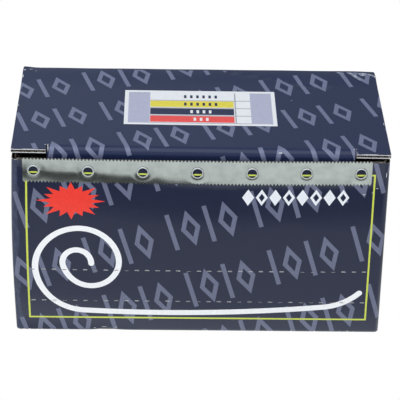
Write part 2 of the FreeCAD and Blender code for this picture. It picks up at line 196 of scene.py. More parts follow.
def worked_out(nodes, links, operation, *values):
    """Socket with the result of a sum on sockets and plain numbers."""
    node = nodes.new("ShaderNodeMath")
    node.operation = operation
    for socket, value in zip(node.inputs, values):
        if isinstance(value, float):
            socket.default_value = value
        else:
            links.new(value, socket)
    return node.outputs[0]


def raised(nodes, links, shader, heights, sockets=("Normal", "Coat Normal")):
    """Bump from (socket, height in metres) pairs."""
    total = 0.0
    for socket, height in heights:
        scaled = worked_out(nodes, links, "MULTIPLY", socket, height)
        total = worked_out(nodes, links, "ADD", scaled, total)
    bump = nodes.new("ShaderNodeBump")
    bump.inputs["Distance"].default_value = 1.0
    links.new(total, bump.inputs["Height"])
    for socket in sockets:
        links.new(bump.outputs["Normal"], shader.inputs[socket])


def varnished(name, colour, across=(1, 1, 0), shade=0.92):
    """Ink on board under gloss varnish, with the flutes just showing through."""
    material, nodes, links, shader = node_material(name)
    darker = tuple(shade * c for c in colour)
    noise, ramp = spotted(nodes, links, 900, 4, darker, colour, 0.35, 0.62)
    links.new(ramp.outputs["Color"], shader.inputs["Base Color"])
    shader.inputs["Roughness"].default_value = 0.5
    shader.inputs["Specular IOR Level"].default_value = 0.2
    shader.inputs["Coat Weight"].default_value = 1.0
    shader.inputs["Coat Roughness"].default_value = 0.05
    place = nodes.new("ShaderNodeTexCoord")
    along = nodes.new("ShaderNodeVectorMath")
    along.operation = "DOT_PRODUCT"
    along.inputs[1].default_value = across
    links.new(place.outputs["Object"], along.inputs[0])
    phase = worked_out(nodes, links, "MULTIPLY", along.outputs["Value"], 2 * math.pi / (flute_pitch * MM))
    wave = worked_out(nodes, links, "SINE", phase)
    grain = nodes.new("ShaderNodeTexNoise")
    grain.inputs["Scale"].default_value = 2600
    grain.inputs["Detail"].default_value = 3
    links.new(place.outputs["Object"], grain.inputs["Vector"])
    swell = nodes.new("ShaderNodeTexNoise")
    swell.inputs["Scale"].default_value = 70
    links.new(place.outputs["Object"], swell.inputs["Vector"])
    ink_flutes, ink_grain, coat_flutes, coat_swell = 3e-6, 12e-6, 1.5e-6, 30e-6
    raised(nodes, links, shader, [(wave, ink_flutes), (grain.outputs["Fac"], ink_grain)], ["Normal"])
    raised(nodes, links, shader, [(wave, coat_flutes), (swell.outputs["Fac"], coat_swell)], ["Coat Normal"])
    return material


def bare_card(name, light, dark, rough=0.85):
    material, nodes, links, shader = node_material(name)
    noise, ramp = spotted(nodes, links, 1500, 5, dark, light, 0.3, 0.7)
    links.new(ramp.outputs["Color"], shader.inputs["Base Color"])
    shader.inputs["Roughness"].default_value = rough
    raised(nodes, links, shader, [(noise.outputs["Fac"], 0.00003)])
    return material


def around(s):
    """Point of the box's outline and the way out there, s mm round from the middle of the front."""
    s = (s + flat_x) % all_round
    x, y, heading = -flat_x, -half_depth, 0.0
    for run in (flat_x, flat_y, flat_x, flat_y):
        along = (math.cos(heading), math.sin(heading))
        out = (along[1], -along[0])
        if s <= 2 * run:
            return x + s * along[0], y + s * along[1], out[0], out[1]
        s -= 2 * run
        x += 2 * run * along[0] - corner_radius * out[0]
        y += 2 * run * along[1] - corner_radius * out[1]
        if s <= quarter:
            turn = heading - math.pi / 2 + s / corner_radius
            out = (math.cos(turn), math.sin(turn))
            return x + corner_radius * out[0], y + corner_radius * out[1], out[0], out[1]
        s -= quarter
        x += corner_radius * along[0]
        y += corner_radius * along[1]
        heading += math.pi / 2
    return x, y, 0.0, -1.0


def front_bow(x, z):
    """How far the front wall swells outwards."""
    rise = min(1.0, max(0.0, z / swell_rise))
    return front_swell * (1 - (x / flat_x) ** 2) * rise * rise * (3 - 2 * rise)


def wall(s, z, deep=0.0):
    """Point of the upright blank: s round the box, z up, this deep into the board."""
    x, y, out_x, out_y = around(s)
    swell = 0.0
    if out_y < -0.999:
        dent = dent_deep * math.exp(-((x - dent_x) / dent_wide) ** 2 - (z / dent_high) ** 2)
        swell = front_bow(x, z) - dent
    elif out_y > 0.999:
        swell = back_swell * (1 - (x / flat_x) ** 2) * math.sin(math.pi * min(1.0, z / wall_top))
    elif abs(out_x) > 0.999:
        swell = side_swell * (1 - (y / flat_y) ** 2) * math.sin(math.pi * min(1.0, z / wall_top))
    fold = base_fold * out_y ** 2 + end_fold * out_x ** 2
    under = max(0.0, fold - z)
    reach = swell - deep - (fold - math.sqrt(max(0.0, fold ** 2 - under ** 2)))
    corner = math.exp(-((x + half_length) / bulge_wide) ** 2 - ((y + half_depth) / bulge_back) ** 2)
    bulge = corner_bulge * corner * math.sin(math.pi * max(0.0, min(1.0, z / wall_top)))
    return x + out_x * reach - bulge, y + out_y * reach, z


def diamond(x, z, half_wide, half_high):
    return [(x - half_wide, z), (x, z - half_high), (x + half_wide, z), (x, z + half_high)]


def leaning_marks(u0, u1, v0, v1, start, ink, ground, turned=lambda x, z: (x, z)):
    """Leaning bars and long lozenges in groups that climb to the right."""
    tilt = math.radians(16.5)
    step_x, step_z, row_z, shift = 29.0, 9.7, 23.6, -7.0
    high, line, pitch, wide, group = 14.8, 1.6, 6.7, 7.0, 4
    margin_u, margin_v = 18, 14
    slope = math.hypot(wide, high)
    inner = wide - line * slope / high * 2
    bar = [(-line / 2, -high / 2), (line / 2, -high / 2), (line / 2, high / 2), (-line / 2, high / 2)]
    lozenge = diamond(0, 0, wide / 2, high / 2)
    opening = diamond(0, 0, inner / 2, inner * high / wide / 2)
    shapes = ([(bar, ink)], [(lozenge, ink), (opening, ground)])
    marks = []
    for row in range(-6, 7):
        for column in range(-7, 8):
            middle = (start[0] + column * step_x + row * shift, start[1] + column * step_z + row * row_z)
            in_u = u0 - margin_u < middle[0] < u1 + margin_u
            in_v = v0 - margin_v < middle[1] < v1 + margin_v
            for index in range(group if in_u and in_v else 0):
                along = (index - (group - 1) / 2) * pitch
                x = middle[0] + along * math.cos(tilt)
                z = middle[1] + along * math.sin(tilt)
                for shape, owner in shapes[index % 2]:
                    outline = [turned(x + a * math.cos(tilt) - b * math.sin(tilt),
                                      z + a * math.sin(tilt) + b * math.cos(tilt)) for a, b in shape]
                    marks.append((outline, owner))
    return marks


def box_ring(u0, u1, v0, v1):
    return [(u0, v0), (u1, v0), (u1, v1), (u0, v1)]


def worn_spot(chance, u, v, wide, high):
    """Ragged little patch where the print has rubbed or torn off."""
    corners, least, most = 11, 0.45, 1.1
    spot = []
    for i in range(corners):
        turn = 2 * math.pi * i / corners
        spot.append((u + wide / 2 * chance.uniform(least, most) * math.cos(turn),
                     v + high / 2 * chance.uniform(least, most) * math.sin(turn)))
    return spot


def circle(x, z, radius, count):
    turns = [2 * math.pi * i / count for i in range(count)]
    return [(x + radius * math.cos(turn), z + radius * math.sin(turn)) for turn in turns]


def swirl_outline(width):
    """Round-ended band along arcs that opens out of the spiral's eye and runs off to the right."""
    half = width / 2
    x, z, heading = -38.1, 28.1, 91.0
    arcs = ((5.4, 71.5), (4.9, 124.0), (12.0, 31.0), (9.7, 146.0), (14.1, 72.5), (15.2, 101.0),
            (18.0, 80.0), (555.0, 8.8), (21.0, 38.6))
    loop_foot, loop_right, loop_up = 13, 0.011, 0.033
    line = []
    for radius, turned in arcs:
        parts = max(6, int(radius * math.radians(turned) / 0.8))
        centre = (x + radius * math.cos(math.radians(heading + 90)),
                  z + radius * math.sin(math.radians(heading + 90)))
        for i in range(parts):
            turn = math.radians(heading - 90 + turned * i / parts)
            line.append((centre[0] + radius * math.cos(turn), centre[1] + radius * math.sin(turn), turn))
        heading += turned
        turn = math.radians(heading - 90)
        x = centre[0] + radius * math.cos(turn)
        z = centre[1] + radius * math.sin(turn)
    line.append((x, z, math.radians(heading - 90)))
    line = [(a + loop_right * max(0.0, b - loop_foot), b + loop_up * max(0.0, b - loop_foot), t)
            for a, b, t in line]
    right = [(a + half * math.cos(t), b + half * math.sin(t)) for a, b, t in line]
    left = [(a - half * math.cos(t), b - half * math.sin(t)) for a, b, t in line]
    caps = []
    for (a, b, t), sweep in ((line[-1], 0), (line[0], math.pi)):
        caps.append([(a + half * math.cos(t + sweep + math.pi * i / 8),
                      b + half * math.sin(t + sweep + math.pi * i / 8)) for i in range(1, 8)])
    return right + caps[0] + left[::-1] + caps[1]


chance = random.Random(7)
card = new_work()
inside = new_work()
fluting = new_work()
torn = new_work()
pattern = new_work()
frame_line = new_work()
swirl = new_work()
burst = new_work()
diamonds = new_work()
# pressed holds painted shade: the wall seen inside the rivet holes.
pressed = new_work()
# rubbed holds the left fold's paler band: rubbed print and painted highlight.
rubbed = new_work()

fold_rows = [0.02, 0.1, 0.25, 0.5, 0.85, 1.2, 1.6]
arc_columns = [flat_x + quarter * i / 6 for i in range(7)]
pattern_start = (0, 44.5)
long_reach = flat_x + quarter
# Paler band along the left front fold: rubbed print and painted highlight.
fold_band_in, fold_band_wave, fold_band_ripple = 0.4, 0.3, 0.2
fold_band_edge = [(-flat_x + fold_band_in + fold_band_wave * math.sin(0.37 * z) + fold_band_ripple * math.sin(1.1 * z + 1), z)
               for z in [0] + spread(0, wall_top, 1.5) + [wall_top]]
front_prints = [([(-long_reach, wall_top), (-long_reach, 0)] + fold_band_edge, rubbed)]
front_prints += leaning_marks(-long_reach, long_reach, 0, wall_top, pattern_start, pattern, card)
strip_low, strip_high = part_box("cutter_strip")
strip_left, strip_right = strip_low.x / MM, strip_high.x / MM
strip_middle = (strip_low.z + strip_high.z) / 2 / MM
rivet_margin, hole_shade_radius = 3.75, 1.75
rivet_run = strip_right - strip_left - 2 * rivet_margin
rivets = [strip_left + rivet_margin + rivet_run * i / 6 for i in range(7)]
# Painted shade: a darker, matte navy disc round each rivet, seen through its hole.
for rivet in rivets:
    front_prints.append((circle(rivet, strip_middle, hole_shade_radius, 24), pressed))
frame_half, frame_low, frame_high, frame_wide = 60.2, 5.7, 65.0, 0.62
for edges in (box_ring(-frame_half, frame_half, frame_low, frame_low + frame_wide),
              box_ring(-frame_half, frame_half, frame_high - frame_wide, frame_high),
              box_ring(-frame_half, -frame_half + frame_wide, frame_low, frame_high),
              box_ring(frame_half - frame_wide, frame_half, frame_low, frame_high)):
    front_prints.append((edges, frame_line))
front_prints.append((swirl_outline(2.1), swirl))
burst_x, burst_z, burst_wide, burst_high, burst_corners = -44.7, 53.7, 12.2, 7.7, 32
tips = (1.0, 0.6, 0.86, 0.6)
burst_shape = []
for i in range(burst_corners):
    turn = 2 * math.pi * i / burst_corners
    reach = tips[i % 4] * chance.uniform(0.95, 1.02)
    burst_shape.append((burst_x + burst_wide * reach * math.cos(turn),
                        burst_z + burst_high * reach * math.sin(turn)))
front_prints.append((burst_shape, burst))
diamond_x, diamond_z, diamond_pitch, diamond_wide, diamond_high = 32.9, 55.95, 4.7, 2.1, 3.2
for i in range(8):
    x = diamond_x + (i - 3.5) * diamond_pitch
    front_prints.append((diamond(x, diamond_z, diamond_wide, diamond_high), diamonds))
    if i % 2:
        front_prints.append((diamond(x, diamond_z, diamond_wide / 2, diamond_high / 2), card))
front_wear = ((-65.4, 69.3, 1.6, 0.9), (-65.9, 67.9, 0.5, 2.6), (-63.4, 69.5, 2.2, 0.5),
              (-65.6, 37.8, 0.4, 1.9), (63.9, 64.8, 0.5, 3.2), (60.9, 59.6, 1.1, 0.35),
              (59.6, 57.8, 0.9, 0.35), (56.6, 57.2, 1.2, 0.35), (51.0, 0.7, 0.9, 0.5),
              (53.8, 0.9, 1.4, 0.7), (56.0, 0.6, 0.6, 0.4), (-33.4, 1.9, 2.2, 0.3),
              (-29.4, 1.7, 1.3, 0.3), (-36.9, 1.4, 0.8, 0.35), (65.6, 3.0, 0.4, 2.2),
              (-65.7, 4.2, 0.4, 1.6), (65.8, 68.6, 0.6, 1.2))
for u, v, wide, high in front_wear:
    front_prints.append((worn_spot(chance, u, v, wide, high), torn))

perforation_rows, perforation_pitch, perforation_cut = (13.0, 25.8), 3.65, 1.7
shoulder, gape = 0.4, 0.14
perforations = []
for z in perforation_rows:
    for i in range(-16, 17):
        u = i * perforation_pitch
        lens = [(u - perforation_cut / 2, z), (u - shoulder, z - gape), (u + shoulder, z - gape),
                (u + perforation_cut / 2, z), (u + shoulder, z + gape), (u - shoulder, z + gape)]
        lift = chance.uniform(0.0, 1.0)
        if lift > 0.25:
            front_prints.append(([(u - 0.9, z), (u + 0.9, z), (u + 0.55, z + 0.16 + 0.16 * lift),
                                  (u - 0.5, z + 0.2 + 0.14 * lift)], torn))
        front_prints.append((lens, None))
        perforations.append(lens)
corner_columns = [side * column for side in (-1, 1) for column in arc_columns]
long_grids = [(spread(-flat_x, flat_x, 2.1), spread(base_fold, wall_top, 2.0)),
              (corner_columns, spread(base_fold, wall_top, 0.8)),
              (spread(-long_reach, long_reach, 0.7), fold_rows)]
sheet(card, ring(box_ring(-long_reach, long_reach, 0, wall_top), 0.7), front_prints, wall, long_grids)
# Each slit gets a torn lip and, half a millimetre in, a floor of the dark fluting: painted shade in the
# slit.
for lens in perforations:
    cut_edge(torn, lens, wall, 0, liner)
    flat_faces(fluting, [wall(u, v, liner + 0.5) for u, v in lens], [list(range(len(lens)))])

end_grids = [(spread(-flat_y, flat_y, 2.5), spread(base_fold, wall_top, 2.5)),
             (spread(-flat_y, flat_y, 0.7), fold_rows)]
for middle in (side_middle, -side_middle):
    prints = leaning_marks(-flat_y, flat_y, 0, wall_top, pattern_start, pattern, card)
    for i in range(5):
        u = chance.choice((-1, 1)) * (flat_y - 0.6)
        v = chance.uniform(2, 66)
        prints.append((worn_spot(chance, u, v, 0.5, 1.6), torn))
    sheet(card, ring(box_ring(-flat_y, flat_y, 0, wall_top), 0.7), prints,
          lambda u, v, middle=middle: wall(middle + u, v), end_grids)
hinge_fold = 1.8
back_top = box_height - hinge_fold
prints = leaning_marks(-long_reach, long_reach, 0, back_top, pattern_start, pattern, card)
sheet(card, ring(box_ring(-long_reach, long_reach, 0, back_top), 0.7), prints,
      lambda u, v: wall(back_middle + u, v), long_grids)


def base(u, v):
    return u, v, 0.0


inner_x, inner_y = half_length - end_fold, half_depth - base_fold
seam_end, seam_half, seam_deep = 2, 0.25, 0.6
seam = box_ring(-inner_x + seam_end, inner_x - seam_end, -seam_half, seam_half)
sheet(card, ring(box_ring(-inner_x, inner_x, -inner_y, inner_y), 2), [(seam, None)], base, [], -1)
flat_faces(fluting, [(x, y, seam_deep) for x, y in box_ring(-inner_x, inner_x, -1, 1)], [[3, 2, 1, 0]])

# Inside of the walls and the inner liner of the base.
for middle, reach, top in ((0, flat_x + 1, wall_top), (side_middle, flat_y + 1, wall_top),
                           (-side_middle, flat_y + 1, wall_top), (back_middle, flat_x + 1, back_top)):
    sheet(inside, ring(box_ring(-reach, reach, board, top), 2), [],
          lambda u, v, middle=middle: wall(middle + u, v, board),
          [(spread(-reach, reach, 4), spread(board, top, 4))], -1)
inner_x, inner_y = half_length - board, half_depth - board
base_top = [(x, y, board) for x, y in box_ring(-inner_x, inner_x, -inner_y, inner_y)]
flat_faces(inside, base_top, [[0, 1, 2, 3]])

# Cut top edge of the front wall and of what the dust flaps leave of the end walls.
top_reach = long_reach + 4
top_path = [(u, wall_top) for u in [-top_reach] + spread(-top_reach, top_reach, 0.6) + [top_reach]]
# The liners' cut edges here are drawn with the dark fluting, as painted shade under the lid.
cut_edge(fluting, top_path, wall, 0, liner, closed=False)
cut_edge(fluting, top_path, wall, board - liner, board, closed=False)


def medium_depth(u):
    return board / 2 + (board / 2 - liner) * math.sin(2 * math.pi * u / flute_pitch)


sheet(fluting, ring(box_ring(-flat_x, flat_x, wall_top - 6, wall_top - 0.05), 0.3), [],
      lambda u, v: wall(u, v, medium_depth(u)), [(spread(-flat_x, flat_x, 0.3), [wall_top - 3])])

# Dust flaps: parts of the same blank, each folded in from an end wall's top to lie under the
# lid. Their sides taper, their corners are rounded, and they sag a little inwards.
flap_length, flap_corner, flap_taper, flap_droop = 28.0, 4.0, 3.0, 0.012
front_gap, back_gap = 4.8, 3.0
flap_front, flap_back = -half_depth + front_gap, half_depth - back_gap
flap_top = box_height - board
fold_run = hinge_fold * math.pi / 2
flap_end = fold_run + flap_length - hinge_fold


def dust_flap(side, t, y, deep=0.0):
    """Point of a dust flap: t up from the end wall's top and over, y along the fold."""
    radius = hinge_fold - deep
    centre = (half_length - hinge_fold, flap_top - hinge_fold)
    droop = flap_droop * max(0.0, t - fold_run)
    if t < fold_run:
        turn = t / hinge_fold
        return side * (centre[0] + radius * math.cos(turn)), y, centre[1] + radius * math.sin(turn)
    return side * (centre[0] - (t - fold_run)), y, centre[1] + radius - droop


corner_start = flap_end - flap_corner
corner_turns = [math.pi / 12 * i for i in range(7)]
flap_ring = [(0.0, flap_front), (corner_start, flap_front + flap_taper)]
flap_ring += [(corner_start + flap_corner * math.sin(turn),
               flap_front + flap_taper + flap_corner * (1 - math.cos(turn))) for turn in corner_turns[1:]]
flap_ring += [(corner_start + flap_corner * math.cos(turn),
               flap_back - flap_taper - flap_corner * (1 - math.sin(turn))) for turn in corner_turns]
flap_ring.append((0.0, flap_back))
for side in (-1, 1):
    def flap_place(t, y, deep=0.0, side=side):
        return dust_flap(side, t, y, deep)

    edge = ring(flap_ring, 0.6)
    fold_ts = [fold_run * i / 6 for i in range(1, 7)]
    flap_grids = [(spread(fold_run, flap_end, 4), spread(flap_front, flap_back, 6)),
                  (fold_ts, spread(flap_front, flap_back, 0.6))]
    sheet(card, edge, [], flap_place, flap_grids, side)
    sheet(inside, edge, [], lambda t, y: flap_place(t, y, board), flap_grids, -side)
    # Liner edges drawn with the dark fluting, as painted shade under the lid.
    cut_edge(fluting, edge, flap_place, 0, liner)
    cut_edge(fluting, edge, flap_place, board - liner, board)
    sheet(fluting, ring(flap_ring, 0.35), [], lambda t, y: flap_place(t, y, medium_depth(y)),
          [(fold_ts + [10.0, 20.0], spread(flap_front, flap_back, 0.35))])

navy = (0.0112, 0.0162, 0.0480)
pattern_ink = (0.135, 0.150, 0.235)
board_blue = varnished("board_blue", navy)
# Darker, unvarnished navy seen inside the rivet holes: painted shade.
hole_shade_blue = bare_card("hole_shade_blue", navy, tuple(0.6 * c for c in navy), 0.7)
# Paler blue of the left fold: rubbed print and painted highlight.
rubbed_blue_and_highlight = varnished("rubbed_blue_and_highlight", (0.038, 0.050, 0.105), shade=0.6)
pattern_lilac = varnished("pattern_lilac", pattern_ink)
frame_yellow = varnished("frame_yellow", (0.60, 0.68, 0.085))
swirl_white = varnished("swirl_white", (0.88, 0.90, 0.92), shade=0.95)
burst_red = varnished("burst_red", (0.86, 0.045, 0.028))
diamond_white = varnished("diamond_white", (0.80, 0.83, 0.88), shade=0.95)
liner_grey = bare_card("liner_grey", (0.60, 0.58, 0.55), (0.48, 0.46, 0.43))
# The fluting's brown is darkened as painted shade: it also colours cut liner edges, slit edges and the
# floors of slits and seam, which lie in shadow.
fluting_dark_painted_shade = bare_card("fluting_dark_painted_shade", (0.17, 0.145, 0.125), (0.10, 0.085, 0.07))
torn_white = bare_card("torn_white", (0.66, 0.67, 0.69), (0.48, 0.49, 0.50))
make_piece("carton_board", card, board_blue, "carton", ["carton"])
make_piece("carton_inner_liner", inside, liner_grey, "carton")
make_piece("carton_fluting", fluting, fluting_dark_painted_shade, "carton")
make_piece("carton_painted_hole_shade", pressed, hole_shade_blue, "carton")
make_piece("carton_rubbed_fold_and_highlight", rubbed, rubbed_blue_and_highlight, "carton")
make_piece("carton_worn_edges", torn, torn_white, "carton")
make_piece("pattern_ink", pattern, pattern_lilac, "carton", ["pattern_print"])
make_piece("frame_ink", frame_line, frame_yellow, "carton", ["frame_print"])
make_piece("swirl_ink", swirl, swirl_white, "carton", ["swirl_print"])
make_piece("burst_ink", burst, burst_red, "carton", ["burst_print"])
make_piece("diamond_ink", diamonds, diamond_white, "carton", ["diamond_print"])

# Cutter strip: thin rolled steel with fine teeth pressed out of both long edges. Seven punched
# holes have a rolled rim, whose burred collar bites into the front wall and holds the strip on.
strip_bottom, strip_top = strip_low.z / MM, strip_high.z / MM
strip_thickness, tooth_depth, hole_radius, rim_radius = 0.25, 0.85, 1.65, 2.02
strip_stand, rim_rise, dish_wide, dish_deep, collar_depth = 0.35, 0.30, 2.6, 0.045, 0.9
teeth = 100
strip_length = strip_right - strip_left
steel = new_work()
rims = new_work()


def strip_place(x, z, deep=0.0):
    """Point of the strip's face: raised rims, and a lower half that leans in, most at the left end."""
    out = strip_stand
    near = min(math.hypot(x - rivet, z - strip_middle) for rivet in rivets)
    if near < rim_radius:
        share = max(0.0, (near - hole_radius) / (rim_radius - hole_radius))
        out += rim_rise * math.sin(math.pi * min(1.0, 0.3 + 0.7 * share))
    elif near < rim_radius + dish_wide:
        share = (near - rim_radius) / dish_wide
        below = 0.5 - 0.5 * (z - strip_middle) / near
        out -= dish_deep * math.sin(math.pi * share) * (1 - share) * below
    across = (z - strip_middle) / (strip_top - strip_middle)
    between = 0.5 - 0.5 * math.cos(2 * math.pi * (x - rivets[0]) / (rivets[1] - rivets[0]))
    out -= max(0.0, 0.036 - 0.0028 * x) * (1 - 0.45 * between) * max(0.0, -across) ** 2
    return x, -half_depth - front_bow(x, strip_middle) - out + deep, z


edge = []
for i in range(teeth):
    x = strip_left + strip_length * i / teeth
    edge += [(x, strip_bottom + tooth_depth), (x + 0.4, strip_bottom + tooth_depth * 0.4),
             (x + 0.6, strip_bottom), (x + 0.8, strip_bottom + tooth_depth * 0.4)]
edge += [(strip_right, strip_bottom + tooth_depth), (strip_right, strip_top - tooth_depth)]
for i in range(teeth):
    x = strip_right - strip_length * i / teeth
    edge += [(x - 0.4, strip_top - tooth_depth * 0.4), (x - 0.6, strip_top),
             (x - 0.8, strip_top - tooth_depth * 0.4), (x - 1.2, strip_top - tooth_depth)]
holes = []
extra = []
for rivet in rivets:
    for radius in (4.0, 3.5, 3.0, 2.6, 2.3, rim_radius, 1.97, 1.91, 1.84, 1.77, 1.71, hole_radius):
        loop = circle(rivet, strip_middle, radius, 48)
        if radius == hole_radius:
            holes.append(loop)
        else:
            extra.append((loop, rims if radius <= rim_radius else steel))
openings = [(hole, None) for hole in holes]
face_grids = [(spread(strip_left, strip_right, 1.0), spread(strip_bottom, strip_top, 0.8))]
sheet(steel, edge, extra + openings, strip_place, face_grids)
cut_edge(steel, edge[::-1], strip_place, 0, strip_thickness)
for hole in holes:
    cut_edge(steel, hole, strip_place, 0, collar_depth)
    steel["smooth"][-len(hole):] = [True] * len(hole)
sheet(steel, edge, openings, lambda x, z: strip_place(x, z, strip_thickness),
      [(spread(strip_left, strip_right, 3), [strip_middle])], -1)
steel_grey, nodes, links, shader = node_material("rolled_steel")
noise, ramp = spotted(nodes, links, 300, 4, (0.50, 0.535, 0.51), (0.62, 0.655, 0.63), 0.3, 0.7)
links.new(ramp.outputs["Color"], shader.inputs["Base Color"])
shader.inputs["Metallic"].default_value = 1.0
shader.inputs["Roughness"].default_value = 0.09
stretch = nodes.new("ShaderNodeMapping")
stretch.inputs["Scale"].default_value = (60, 1500, 4200)
place = nodes.new("ShaderNodeTexCoord")
links.new(place.outputs["Object"], stretch.inputs["Vector"])
streaks = nodes.new("ShaderNodeTexNoise")
streaks.inputs["Scale"].default_value = 1.0
streaks.inputs["Detail"].default_value = 3
links.new(stretch.outputs["Vector"], streaks.inputs["Vector"])
raised(nodes, links, shader, [(streaks.outputs["Fac"], 0.0000015)])
# The rims are pale, half-diffuse steel that stays bright all round: painted highlight for the light they
# catch.
rim_bright, nodes, links, shader = node_material("rim_pale_painted_highlight")
shader.inputs["Base Color"].default_value = (0.74, 0.77, 0.76, 1)
shader.inputs["Metallic"].default_value = 0.55
shader.inputs["Roughness"].default_value = 0.42
make_piece("cutter_strip_steel", steel, steel_grey, "carton", ["cutter_strip"])
make_piece("rivet_rims", rims, rim_bright, "carton")

# Core tube: plain brown card wound in plies, with the seam of the winding round it. The foil is
# wound straight onto it.
core_low, core_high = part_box("core_tube")
roll_low, roll_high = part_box("foil_roll")
core_radius = (core_high.y - core_low.y) / MM / 2
core_middle_z = (core_high.z + core_low.z) / MM / 2
core_half = core_high.x / MM
core_wall, core_sides = 2.0, 96
seam_lead, seam_share, seam_step = 62, 0.022, 0.18
core = new_work()


def tube_point(x, turn, radius):
    return x, radius * math.cos(turn), core_middle_z + radius * math.sin(turn)


def tube(work, profile, sides, smooth=True):
    """Turned shape along X from (x, radius) pairs, where a radius may be a function of the angle."""
    first = len(work["points"])
    for x, radius in profile:
        for i in range(sides):
            turn = 2 * math.pi * i / sides
            r = radius(turn) if callable(radius) else radius
            work["points"].append(tube_point(x, turn, r))
            work["normals"].append((0, 0, 0))
    for row in range(len(profile) - 1):
        for i in range(sides):
            a, b = first + row * sides + i, first + row * sides + (i + 1) % sides
            work["faces"].append([a, b, b + sides, a + sides])
            work["smooth"].append(smooth)


def seamed(radius, x, depth):
    """Radius with the shallow helical seam of the wound strips."""
    def at(turn):
        phase = (x / seam_lead + turn / (2 * math.pi)) % 1
        return radius + (depth if phase < seam_share else 0.0)
    return at


inner_radius = core_radius - core_wall
xs = [-core_half + 2 * core_half * i / 90 for i in range(91)]
tube(core, [(x, seamed(inner_radius, x, seam_step)) for x in xs][::-1], core_sides)
for end in (-1, 1):
    plies = [(end * core_half, inner_radius)]
    for ply in range(1, 4):
        radius = inner_radius + core_wall * ply / 4
        plies += [(end * core_half, radius - 0.06), (end * (core_half - 0.15), radius),
                  (end * core_half, radius + 0.06)]
    plies.append((end * core_half, core_radius))
    tube(core, plies if end < 0 else plies[::-1], core_sides, smooth=False)
tube(core, [(x, core_radius - 0.05) for x in (-core_half, core_half)], core_sides)
core_brown = bare_card("core_brown", (0.42, 0.30, 0.18), (0.30, 0.21, 0.12))
make_piece("core_tube_card", core, core_brown, "carton", ["core_tube"])

# Foil roll: bright aluminium foil wound on the core. Its turns show at both ends, and the tail's
# edge lies along the roll at the back.
roll_radius = (roll_high.y - roll_low.y) / MM / 2
foil = new_work()
tail_step = 0.3


def outer_turn(x):
    """Radius of the outermost turn, which spirals up to the tail and has faint creases."""
    def at(turn):
        crease = 0.03 * math.sin(5 * turn + 0.05 * x) + 0.025 * math.sin(0.21 * x + 2 * turn)
        return roll_radius - 0.06 - tail_step + tail_step * min(1.0, turn / math.pi) + crease
    return at


sides = 180
tube(foil, [(-core_half + 2 * core_half * i / 60, outer_turn(-core_half + 2 * core_half * i / 60))
            for i in range(61)], sides)
turns = 46
for end in (-1, 1):
    rings = []
    for i in range(turns * 2 + 1):
        share = i / (turns * 2)
        x = end * (core_half - (0.16 if i % 2 else 0.0) - chance.uniform(0, 0.06))
        edge_radius = outer_turn(end * core_half)
        rings.append((x, lambda turn, share=share, edge_radius=edge_radius:
                      core_radius + (edge_radius(turn) - core_radius) * share))
    tube(foil, rings if end < 0 else rings[::-1], sides, smooth=False)
foil_bright, nodes, links, shader = node_material("bright_foil")
noise, ramp = spotted(nodes, links, 120, 3, (0.80, 0.81, 0.82), (0.90, 0.91, 0.92), 0.3, 0.7)
links.new(ramp.outputs["Color"], shader.inputs["Base Color"])
shader.inputs["Metallic"].default_value = 1.0
shader.inputs["Roughness"].default_value = 0.24
raised(nodes, links, shader, [(noise.outputs["Fac"], 0.00008)])
make_piece("foil_roll_wound", foil, foil_bright, "carton", ["foil_roll"])

# Lid: the back wall's board carried on over the top, with a soft fold at the front between two
# slits, and a tuck flap below it that goes in behind the front wall. Beside the slits the top's
# front edge is cut raw, so that the flutes between its two liners show.
lid_back = half_depth - hinge_fold
front_fold, tuck_clearance, tuck_depth, slit_in, wing_drop = 2.5, 0.3, 16.0, 12.0, 2.4
fold_centre = (-half_depth + board + tuck_clearance + front_fold, box_height - front_fold)
lean = math.radians(8.5)
fold_start = lid_back - fold_centre[0]
fold_end = fold_start + front_fold * (math.pi / 2 + lean)
raw_edge = lid_back + half_depth
slit_x, slit_half = half_length - slit_in, 0.12
tuck_half, tuck_corner = 62.0, 6.0
foot_z = fold_centre[1] - front_fold * math.sin(lean)
tuck_end = fold_end + (foot_z - (box_height - tuck_depth)) / math.cos(lean)
wing_top = fold_end + wing_drop
lid_card = new_work()
lid_inside = new_work()
lid_fluting = new_work()
lid_torn = new_work()
lid_rub_and_sheen = new_work()
lid_pattern = new_work()
label_white = new_work()
label_lilac = new_work()
label_red = new_work()
label_yellow = new_work()
label_lines = new_work()


def lid_settle(x, y):
    """How far the closed lid lies above its plane: higher at the front left, pressed down at the right."""
    forward = (half_depth - y) / box_depth
    crease = 0.0
    line = ((12, 30.0), (20, 28.0), (30, 24.0), (40, 20.5), (46, 19.5))
    for (x0, y0), (x1, y1) in zip(line, line[1:]):
        along = ((x - x0) * (x1 - x0) + (y - y0) * (y1 - y0)) / math.hypot(x1 - x0, y1 - y0) ** 2
        along = max(0.0, min(1.0, along))
        gap = math.hypot(x - x0 - along * (x1 - x0), y - y0 - along * (y1 - y0))
        crease = max(crease, math.exp(-(gap / 0.9) ** 2))
    sag = -0.25 * (1 - (x / half_length) ** 2) * math.sin(math.pi * forward)
    behind = half_depth - y
    ridge = 0.5 * math.exp(-((behind - 3) / 7) ** 2)
    ridge += 0.12 * math.exp(-((x + half_length) / 3) ** 2 - ((behind - 3) / 3) ** 2)
    dent = -0.45 * math.exp(-((x - half_length) / 5) ** 2 - (behind / 4) ** 2)
    wave = 0.06 * math.sin(0.23 * x + 1.0) * math.exp(-(behind / 6) ** 2)
    return forward * (0.05 - 0.0075 * x) * 0.85 + sag - 0.22 * crease + ridge + dent + wave


